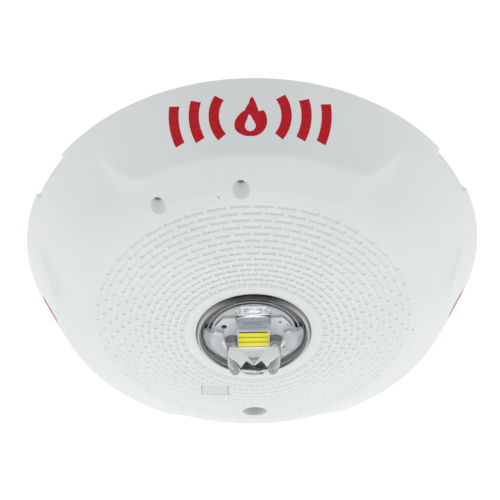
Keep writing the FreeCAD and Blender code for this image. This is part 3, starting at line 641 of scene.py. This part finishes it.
def bore(outline, columns, centre):
    """A turned cutter: the outline of (radius, z) pairs, closed on its axis at both ends."""
    profile = [(AXIS, outline[0][1])] + outline + [(AXIS, outline[-1][1])]
    return lathe("cutter", profile, columns, closed=False, centre=centre)


bowl = [(r, MOUTH_Z + z) for r, z in BOWL] + [(1.1, -24.0)]
cutters = [bore(bowl, 64, at) for at in PORTS]
cutters.append(bore(WELL, 72, SCREW_XY))
wx, wy, wl, ww = WINDOW
signs = ((-1, -1), (1, -1), (1, 1), (-1, 1))
corner = np.array([(wx + sx * wl / 2, wy + sy * ww / 2) for sx, sy in signs])
opening = np.stack([np.c_[corner, np.full(4, z)] for z in (-60.0, -30.0)])
cutters.append(mesh_from_grid("cutter", opening, caps=(True, True)))
for at in GATE_MARKS:
    pit = -float(surface_h(*at))
    cutters.append(bore([(0.38, pit - 2), (0.38, pit + 0.5)], 20, at))
carve(front_cover, cutters, sharp=COVER_SHARP)
dress(front_cover, COVER_WHITE, "cover_white", "device", "front_cover")

# %% [markdown]
# ## Dress the rest of the frame
# Every part that is carried over gets its finish here, one row of a table at a time.

# %% finishes for carried-over parts
TABLE = {
    "mounting_plate": PLATE_WHITE, "terminal_block": BLOCK_BLACK, "terminal_contacts": CONTACT_BRASS,
    "shorting_spring": SPRING_BRONZE, "screw_insert": CONTACT_BRASS, "rear_housing": HOUSING_WHITE,
    "mounting_screw": SCREW_ZINC, "screw_retainer": RETAINER_NYLON, "main_board": BOARD_GREEN,
    "blade_carrier": CARRIER_BLACK, "contact_blades": BLADE_TIN, "board_screws": SCREW_STEEL,
    "cover_screws": SCREW_STEEL, "candela_switch": SWITCH_BLUE, "candela_slider": SLIDER_WHITE,
    "tone_switch": SWITCH_BLUE, "tone_dial": DIAL_GREY, "horn_chamber": CHAMBER_BLACK,
    "sounder_disc": DISC_BRASS, "sounder_ceramic": CERAMIC_CREAM, "sounder_ring": CHAMBER_BLACK,
    "sounder_seat": RING_RUBBER, "sounder_pins": PINS_GOLD, "storage_capacitors": CAN_ALUMINIUM,
    "inductor_core": FERRITE, "inductor_winding": WINDING, "controller_chip": CHIP_BLACK,
    "led_tower": TOWER_BLACK, "led_heat_sink": SINK_BLACK, "led_pins": PINS_GOLD,
    "led_emitter": EMITTER_CERAMIC,
}
for number in range(1, 5):
    TABLE[f"terminal_clamp_{number}"] = CLAMP_ZINC
    TABLE[f"terminal_screw_{number}"] = SCREW_ZINC


def clothe(node, material):
    """Put a material in the slot of a carried-over part, whose mesh stays as it is."""
    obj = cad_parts[node]
    obj.data.materials.clear()
    obj.data.materials.append(material)


for node, material in TABLE.items():
    clothe(node, material)
print("carried-over parts with a finish:", len(TABLE))

# %% [markdown]
# ## The beacon
# A white metal-cored board carries the LED.  Its phosphor is a yellow field in three bands.  Both parts are
# carried over, so their bands, marks and the painted shade in the board's holes are painted by place.

# %% the LED board and its phosphor
BOARD_MARKS = ((12.4, -4.7), (13.5, -4.4), (14.4, -3.8))
TEST_POINT = ((9.8, -6.2),)
BAND = 2.55


def led_board_paint(place):
    """White solder mask with a grey edge, faint copper fields under it, a fine grain, printed marks, and
    painted shade dark in the holes.
    """
    x, y = place.parts()[:2]
    field = abs(x / (9.0 * MM)).max(abs(y / (6.4 * MM)))
    copper = 1.0 - field.rise(0.98, 1.0)
    grain = place.noise(2400.0, 3.0)
    tone = copper.fade(rgb(212, 217, 223), rgb(198, 205, 214))
    clean = grain.rise(0.35, 0.7).fade(tone, rgb(214, 219, 225))
    # Dark spots at the holes are painted shade; the small marks and the test point are print.
    dark = spots(place, HOLES, 1.15).max(spots(place, BOARD_MARKS, 0.3))
    marked = dark.fade(clean, rgb(52, 58, 60))
    return {"Base Color": spots(place, TEST_POINT, 0.75).fade(marked, rgb(130, 138, 140)),
            "Roughness": grain * 0.2 + 0.3, "height": copper + grain * 0.2, "depth": 0.00004}


def phosphor_paint(place):
    """Three lemon bands along X between thin dark lines; the far edge fades to white; the colour also glows
    faintly as painted light.
    """
    y = place.parts()[1]
    lane = abs(((y + 3.3 * MM) / (BAND * MM)) % 1.0 - 0.5)
    line = lane.rise(0.43, 0.46)
    grain = place.noise(1800.0, 3.0)
    yellow = (grain * 0.4 + 0.8 - lane).rise(0.3, 1.1).fade(rgb(226, 214, 0), rgb(246, 236, 40))
    pale = y.rise(3.4 * MM, 5.0 * MM).fade(yellow, rgb(238, 238, 214))
    return {"Base Color": line.fade(pale, rgb(58, 54, 8)),
            "Emission Color": line.fade(pale, rgb(8, 8, 0)),
            "Roughness": grain * 0.2 + 0.45, "height": grain - line, "depth": 0.00005}


LED_BOARD = finish("led board", led_board_paint, Coat_Weight=0.3)
# The phosphor's faint emission is a painted glow: the LED is not lit.
PHOSPHOR = finish("phosphor", phosphor_paint, Emission_Strength=0.12)
clothe("led_board", LED_BOARD)
clothe("led_phosphor", PHOSPHOR)
print("bands of the phosphor are", BAND, "mm apart")

# %% [markdown]
# ## The clear optic
# One moulding: a skirt that stands in the trench of the cover, two wings, a near lobe, and two posts that
# carry a prism under the LED.  Fully clear plastic everywhere would let the white cover shine through the
# skirt and flatten it, so the finishes differ.  The skirt's colour is painted shade, dark for the black
# inside seen through it, with painted highlights on the lines of its steps; the wings and posts are a satin
# between clear and white, and the prism is clear.  Thin frosted facets with a painted highlight, dark corners
# with a painted reflection of the trench, and a satin web that stands for the board's reflection lie on the
# prism's near face, where the real one's cut faces catch the light.

# %% clear, smoky and frosted plastic
def clear_paint(place):
    """Polished clear plastic with the faintest moulding ripple."""
    ripple = place.noise(300.0, 2.0)
    return {"Base Color": ripple.fade(rgb(250, 252, 253), rgb(244, 248, 250)),
            "Roughness": ripple * 0.04 + 0.015, "height": ripple, "depth": 0.00006}


def frost_and_highlight(low, high):
    """A fine frost between two tones: the window pane's own frost, and on the prism's facets a painted
    highlight where the cut faces catch the light.
    """
    def paint(place):
        grain = place.noise(6000.0, 3.0)
        return {"Base Color": grain.fade(low, high), "Roughness": grain * 0.2 + 0.45,
                "height": grain, "depth": 0.00001}
    return paint


# A painted reflection of the cover's dark trench, on a part-clear face.
def trench_reflection_paint(place):
    """Painted reflection: small dark corners under the facets, where the prism's cut faces mirror the dark
    trench of the cover.
    """
    ripple = place.noise(700.0, 2.0)
    return {"Base Color": ripple.rise(0.3, 0.7).fade(rgb(62, 66, 70), rgb(112, 116, 120)),
            "Roughness": ripple * 0.1 + 0.05, "height": ripple, "depth": 0.00006}


# The skirt's colour is painted light: dark as painted shade where the black inside shows through, and light
# lines as painted highlights on its steps.
STEP_HIGHLIGHTS = ((19.48, 0.16, 0.5), (18.65, 0.22, 0.3), (17.05, 0.32, 0.75), (15.35, 0.5, 0.8))


def skirt_shade_and_highlight_paint(place):
    """Painted shade and highlights: dark for the black inside seen through the clear skirt, a painted
    highlight on each step line (radius, half width, strength), and painted light on the grey outer sides.
    """
    x, y = place.parts()[:2]
    radius = (x * x + y * y).root() / MM
    lines = None
    for at, wide, strength in STEP_HIGHLIGHTS:
        line = (1.0 - abs(radius - at).rise(wide * 0.6, wide)) * strength
        lines = line if lines is None else lines.max(line)
    side = abs(x / MM / radius).rise(0.25, 1.0) * radius.rise(19.4, 19.9)
    ripple = place.noise(500.0, 2.0)
    tone = lines.max(side * 0.55) * (ripple * 0.4 + 0.8)
    return {"Base Color": tone.fade(rgb(30, 31, 31), rgb(226, 229, 230)),
            "Roughness": ripple * 0.1 + 0.12, "height": ripple, "depth": 0.00004}


OPTIC_SKIRT = finish("optic skirt", skirt_shade_and_highlight_paint, Coat_Weight=0.5)
OPTIC_CLEAR = finish("optic clear", clear_paint, Transmission_Weight=1.0, IOR=1.49)
OPTIC_SATIN = finish("optic satin", clear_paint, Transmission_Weight=0.75, IOR=1.49)
# The facets' near-white frost is a painted highlight of the prism's cut faces.
FACET_HIGHLIGHT = frost_and_highlight(rgb(246, 248, 249), rgb(255, 255, 255))
PANE_FROST = frost_and_highlight(rgb(222, 224, 224), rgb(230, 232, 232))
OPTIC_FACET_HIGHLIGHT = finish("optic frosted face", FACET_HIGHLIGHT, IOR=1.49)
OPTIC_TRENCH_REFLECTION = finish("optic shaded face", trench_reflection_paint, Transmission_Weight=0.5, IOR=1.49)
WINDOW_FROST = finish("window frosted", PANE_FROST, Transmission_Weight=0.15, IOR=1.46)
print("finishes of the optic and the pane made")

# %% the skirt, wings and lobe
BASE_Z = -43.5
SKIRT = [(14.9, -42.6), (18.6, -42.6), (19.6, -39.75), (20.9, -39.75), (20.9, -42.4), (20.55, -44.7),
         (20.3, -45.0), (19.95, -45.0), (19.7, -44.7), (19.5, -43.6), (18.9, -43.35), (18.6, -43.55),
         (18.3, -43.2), (17.4, -43.2), (17.1, -43.6), (16.8, -43.2), (15.8, -43.2), (15.5, -43.5),
         (14.9, -43.3)]
WING = [(11.2, -43.5), (16.5, -43.5), (17.9, -43.6), (18.4, -44.2), (17.9, -45.6), (16.2, -46.9),
        (13.6, -47.3), (11.8, -46.5), (11.2, -45.2)]
WING_START, WING_SWEEP = 78, 58
LOBE_X, LOBE_Y, LOBE_CENTRE_Y = 6.4, 4.1, -10.9
LOBE_POWER = 3.6


def wing_grid(side):
    """The wing's profile swept about Z: shallower at both ends, and nearer the axis at one of them."""
    radius, height = np.array(WING).T
    turn = np.linspace(0, 1, 44)
    a = np.radians(WING_START + WING_SWEEP * turn) * side
    draw = 1 - 0.35 * np.abs(2 * turn - 1) ** 4
    z = BASE_Z + (height[None] - BASE_Z) * draw[:, None]
    r = radius[None] * (1 - 0.13 * ramp(turn, 0.2, 1.0))[:, None]
    return np.stack([r * np.sin(a)[:, None], -r * np.cos(a)[:, None], z], -1)


def lobe_grid(rows=26, columns=72):
    """Rounded block with a crowned top: a superellipse |x/a|^n + |y/b|^n = 1 drawn in over the crown."""
    t = np.linspace(0, 1, rows)
    a = np.arange(columns) * 2 * np.pi / columns
    power = 2 / LOBE_POWER
    cx = np.sign(np.sin(a)) * np.abs(np.sin(a)) ** power
    cy = -np.sign(np.cos(a)) * np.abs(np.cos(a)) ** power
    crown = np.clip((t - 0.45) / 0.55, 0, 1)
    size = np.sqrt(np.maximum(1 - crown ** 2.2, 0.0001))
    x = LOBE_X * size[:, None] * cx
    y = LOBE_CENTRE_Y + LOBE_Y * size[:, None] * cy
    z = BASE_Z - 3.0 * np.minimum(t / 0.45, 1) - 1.9 * np.sin(crown * np.pi / 2)
    return np.stack([x, y, np.repeat(z[:, None], columns, 1)], -1)


optic = [lathe("optic_skirt", SKIRT, 160)]
for side in (-1, 1):
    optic.append(mesh_from_grid("optic_wing", wing_grid(side), caps=(True, True)))
optic.append(mesh_from_grid("optic_lobe", lobe_grid(), caps=(True, True), sharp=math.radians(40)))
print("pieces of the optic so far:", [piece.name for piece in optic])

# %% the posts, facets and prism
POST_Y = 3.4
POST = ((7.9, 3.0, -43.4), (7.9, 2.9, -43.9), (7.9, 2.4, -44.3), (7.9, 2.15, -45.0), (7.8, 2.1, -50.0),
        (7.6, 2.1, -54.0), (7.3, 2.05, -56.5), (7.0, 1.8, -58.3), (6.8, 1.3, -59.3), (6.7, 0.7, -59.7))
PRISM_TOP_Z = -49.2
FACET = [(5.2, -49.4), (8.8, -49.3), (9.1, -53.6), (6.1, -56.5), (4.7, -59.1), (2.8, -55.9), (0.3, -58.2),
         (0.1, -57.7)]
SHADE = [(2.8, -56.1), (4.5, -58.9), (1.6, -60.0), (0.1, -59.5), (0.1, -58.5)]
WEB = [(0.0, -57.9), (4.5, -50.7), (0.0, -50.7)]
BODY = [(0.0, -58.0), (5.2, -49.4), (7.4, -49.2), (8.0, -52.5), (6.9, -56.0), (5.2, -60.2), (3.4, -61.8),
        (0.0, -62.3)]
BODY_NEAR_Y, BODY_FAR_Y, BODY_RISE = 0.9, 4.4, 0.82


def prism(name, outline, low, high, bevel=0.25, rise=1.0):
    """Extrude an (x, z) outline along Y with bevelled ends; rise scales the depth of its far end."""
    shape = np.array(outline, float)
    middle = shape.mean(0)
    inset = shape + (middle - shape) * (bevel / np.maximum(np.hypot(*(middle - shape).T), 1)[:, None])
    ends = [(inset, low, 1.0), (shape, low + bevel, 1.0), (shape, high - bevel, rise), (inset, high, rise)]
    grid = np.stack([np.c_[section[:, 0], np.full(len(section), y),
                           PRISM_TOP_Z + (section[:, 1] - PRISM_TOP_Z) * deep] for section, y, deep in ends])
    return mesh_from_grid(name, grid, caps=(True, True), sharp=math.radians(20))


def mirrored(half):
    """A left-right symmetric outline from its right half, listed from the middle outwards."""
    return [(x, z) for x, z in half] + [(-x, z) for x, z in reversed(half) if x > 0]


def post_grid(side, columns=48):
    """A post that stands upright, leans in and ends in a rounded tip: a circle at each (x, radius, z)."""
    a = np.arange(columns) * 2 * np.pi / columns
    circles = [(side * x + r * np.sin(a), POST_Y - r * np.cos(a), np.full(columns, z)) for x, r, z in POST]
    return np.array([np.stack(circle, -1) for circle in circles])


for side in (-1, 1):
    optic.append(mesh_from_grid("optic_post", post_grid(side), caps=(True, True)))
    optic.append(prism("optic_facet", [(side * x, z) for x, z in FACET], 0.5, 0.88, 0.08))
    optic.append(prism("optic_shade", [(side * x, z) for x, z in SHADE], 0.55, 0.88, 0.06))
# The web is a satin sheet across the prism's notch that stands for the board's reflection: a painted
# reflection.
optic.append(prism("optic_web", mirrored(WEB), 0.6, 0.88, 0.06))
optic.append(prism("optic_prism", mirrored(BODY), BODY_NEAR_Y, BODY_FAR_Y, rise=BODY_RISE))
# The skirt, facets, shades and web carry painted shade, highlight and reflection; the wings and posts are
# satin.
GLAZE = {"optic_skirt": OPTIC_SKIRT, "optic_wing": OPTIC_SATIN, "optic_post": OPTIC_SATIN,
         "optic_web": OPTIC_SATIN, "optic_facet": OPTIC_FACET_HIGHLIGHT, "optic_shade": OPTIC_TRENCH_REFLECTION}
for number, piece in enumerate(optic, start=1):
    glaze = GLAZE.get(piece.name.split(".")[0], OPTIC_CLEAR)
    piece.name = f"optic_{number}"
    dress(piece, glaze, "optic_clear", "device", *(["optic"] if number == 1 else []))

# %% [markdown]
# ## The setting window
# The pane is snapped into its opening flush with the dome, so it has to follow the dome's curve.  It is a
# grid on the cover's own surface, sunk 0.12 mm, with a copy of the grid above it as its back.

# %% the pane
PANE_GAP, PANE_SUNK, PANE_THICK = 0.06, 0.12, 1.2
nx = np.linspace(-wl / 2 + PANE_GAP, wl / 2 - PANE_GAP, 9)
ny = np.linspace(-ww / 2 + PANE_GAP, ww / 2 - PANE_GAP, 7)
px, py = np.meshgrid(wx + nx, wy + ny)
pane_face = np.stack([px, py, PANE_SUNK - surface_h(px, py)], -1)
pane_back = pane_face + np.array([0.0, 0.0, PANE_THICK])
pane_grid = np.concatenate([pane_face, pane_back[::-1]])
pane = mesh_from_grid("window_pane", pane_grid, around=False, rows_closed=True)
closing = bmesh.new()
closing.from_mesh(pane.data)
bmesh.ops.holes_fill(closing, edges=[e for e in closing.edges if e.is_boundary])
bmesh.ops.recalc_face_normals(closing, faces=closing.faces)
closing.to_mesh(pane.data)
closing.free()
dress(pane, WINDOW_FROST, "optic_clear", "device", "candela_window")

# %% [markdown]
# ## The marking
# A plain pictogram in red ink on each of the three panels: a flame with sound waves on both sides.  Each
# mark is a thin closed skin that follows the wall and stands 0.03 mm proud of it.

# %% red ink
def ink_paint(place):
    """Screen-printed red with fine pinholes and a slightly uneven film."""
    specks = place.cells(1500.0)
    film = place.noise(900.0, 3.0)
    red = film.rise(0.3, 0.7).fade(rgb(172, 10, 26), rgb(196, 20, 36))
    return {"Base Color": specks.rise(0.04, 0.2).fade(rgb(214, 92, 98), red),
            "Roughness": film * 0.2 + 0.5, "height": film, "depth": 0.00001}


INK_RED = finish("ink red", ink_paint, Specular_IOR_Level=0.2)
print("ink made")

# %% the pictogram
FLAME = ((-90, .28), (-46, .32), (-9, .365), (24, .416), (50, .47), (59, .37), (72, .485), (87.6, .72),
         (93, .52), (109, .37), (141, .35), (170, .365), (197, .367), (226, .318))
TONGUE = ((-90, .165), (-50, .15), (-10, .125), (30, .11), (70, .14), (95, .26), (115, .15),
          (150, .115), (190, .125), (230, .15))
FLAME_H, FLAME_DROP = 15.2, 0.22
WAVE_RADII, WAVE_WIDTH, WAVE_HALF_H = (12.6, 19.6, 26.8), 3.6, 7.4
MARK_R = 80.2
INK_OUT, INK_IN = 0.03, -0.05


def polar_outline(pairs, height, count=96):
    """Closed outline r(angle), straight between its (degrees, radius) pairs, as (across, up) points."""
    degrees, radius = np.array(pairs, float).T
    a = np.linspace(-90, 270, count + 1)[:-1] + 0.001
    r = np.interp(a, degrees, radius, period=360)
    return np.c_[r * np.cos(np.radians(a)), r * np.sin(np.radians(a)) - FLAME_DROP] * height


def arc_strip(radius, width, half_angle, side, count=18):
    """Grid of a sound-wave arc: points at two radii over a fan of angles, as (across, up)."""
    a = np.linspace(-half_angle, half_angle, count)
    inner = np.c_[side * (radius - width / 2) * np.cos(a), (radius - width / 2) * np.sin(a)]
    outer = np.c_[side * (radius + width / 2) * np.cos(a), (radius + width / 2) * np.sin(a)]
    return np.stack([inner, outer], 1)


def on_wall(points, panel, lift):
    """Lay (across, up) points, in mm, on the wall of a panel; lift moves them out of the surface."""
    across, up = points[..., 0], points[..., 1]
    slope = math.hypot(1, WALL_SLOPE)
    r = MARK_R + up / slope
    h = RIM_H + WALL_SLOPE * (RIM_R - r)
    a = math.radians(panel) + across / MARK_R
    r = r + lift * WALL_SLOPE / slope
    z = -h - lift / slope
    return np.stack([r * np.sin(a), -r * np.cos(a), z], -1)


def print_strip(name, strip, panel):
    """Closed thin solid over a strip grid: its outside, then its inside in reverse, as one loop."""
    top = on_wall(strip, panel, INK_OUT)
    low = on_wall(strip, panel, INK_IN)
    loop = np.concatenate([top, low[:, ::-1]], 1)
    return mesh_from_grid(name, loop, around=True, caps=(True, True), sharp=math.radians(40))


for panel in (0, 120, -120):
    outline, hollow = polar_outline(FLAME, FLAME_H), polar_outline(TONGUE, FLAME_H)
    strip = np.stack([hollow + (outline - hollow) * s for s in (0.0, 0.33, 0.67, 1.0)], 1)
    strip = np.concatenate([strip, strip[:1]], 0)
    dress(print_strip(f"mark_flame_{panel % 360}", strip, panel), INK_RED, "cover_white", "device")
    for side in (-1, 1):
        for number, radius in enumerate(WAVE_RADII, start=1):
            strip = arc_strip(radius, WAVE_WIDTH, math.asin(WAVE_HALF_H / radius), side)
            name = f"mark_wave_{panel % 360}_{'l' if side < 0 else 'r'}{number}"
            dress(print_strip(name, strip, panel), INK_RED, "cover_white", "device")

# %% [markdown]
# ## Light, floor and camera
# The device hangs over a pale floor in a white studio.  The camera stands below and in front, at the
# angle at which the device is usually shown.

# %% the floor
FLOOR_HALF, FLOOR_Z = 4.0, -1.25


def floor_paint(place):
    """Pale seamless floor with the slightest mottle."""
    mottle = place.noise(3.0, 3.0)
    return {"Base Color": mottle.fade(rgb(236, 236, 235), rgb(242, 242, 241)),
            "Roughness": mottle * 0.1 + 0.7}


side_m = np.linspace(-FLOOR_HALF, FLOOR_HALF, 9)
gx, gy = np.meshgrid(side_m, side_m)
floor_grid = np.stack([gx, gy, np.full_like(gx, FLOOR_Z)], -1) / MM
floor = mesh_from_grid("floor", floor_grid, around=False)
floor.data.materials.append(finish("floor", floor_paint))
print("floor is", -FLOOR_Z, "m under the ceiling")

# %% the sky and the lights
world = bpy.data.worlds.new("studio")
bpy.context.scene.world = world
world.use_nodes = True
sky = Wire(world.node_tree)
direction = sky.make("ShaderNodeTexCoord", out=0)
dy, dz = direction.parts()[1:]
level = (dy * 0.5 + dz * 0.2 + 0.35).rise(-0.25, 0.75)
shade = level.fade((0.66, 0.675, 0.69, 1.0), (1.04, 1.04, 1.04, 1.0))
world.node_tree.links.new(shade.socket, world.node_tree.nodes["Background"].inputs["Color"])


def softbox(name, at, size, power, aim=(0.0, 0.0, -0.03)):
    """Rectangular area light that the camera doesn't see, aimed at the device."""
    light = bpy.data.lights.new(name, "AREA")
    light.shape = "RECTANGLE"
    light.size, light.size_y = size
    light.energy = power
    obj = bpy.data.objects.new(name, light)
    bpy.context.scene.collection.objects.link(obj)
    obj.location = at
    obj.rotation_euler = (Vector(aim) - Vector(at)).to_track_quat("-Z", "Y").to_euler()
    obj.visible_camera = False
    return obj


softbox("key", (0.0, 0.5, -0.75), (0.9, 0.7), 1.6)
softbox("left", (-1.0, 0.1, -0.3), (0.6, 0.8), 1.1)
softbox("right", (1.0, 0.1, -0.3), (0.6, 0.8), 1.2)
print("area lights:", len(bpy.data.lights))

# %% camera
ELEVATION, ROLL = math.radians(45.21), math.radians(-0.89)
DISTANCE, FOCAL_MM, SENSOR_MM = 0.606, 112.7016, 36.0
SHIFT_X, SHIFT_Y = -0.00452, 0.00148
forward = Vector((0.0, math.cos(ELEVATION), math.sin(ELEVATION)))
right = Vector((1.0, 0.0, 0.0))
up = right.cross(forward)
turned_right = right * math.cos(ROLL) + up * math.sin(ROLL)
turned_up = up * math.cos(ROLL) - right * math.sin(ROLL)
matrix = Matrix((turned_right, turned_up, -forward)).transposed().to_4x4()
matrix.translation = -forward * DISTANCE
lens = bpy.data.cameras.new("camera")
lens.sensor_width = SENSOR_MM
lens.lens = FOCAL_MM
lens.shift_x, lens.shift_y = SHIFT_X, SHIFT_Y
lens.clip_start = 0.01
camera = bpy.data.objects.new("camera", lens)
bpy.context.scene.collection.objects.link(camera)
camera.matrix_world = matrix
bpy.context.scene.camera = camera
bpy.context.scene.view_settings.view_transform = "Standard"
print("camera at", [round(v, 3) for v in camera.matrix_world.translation])
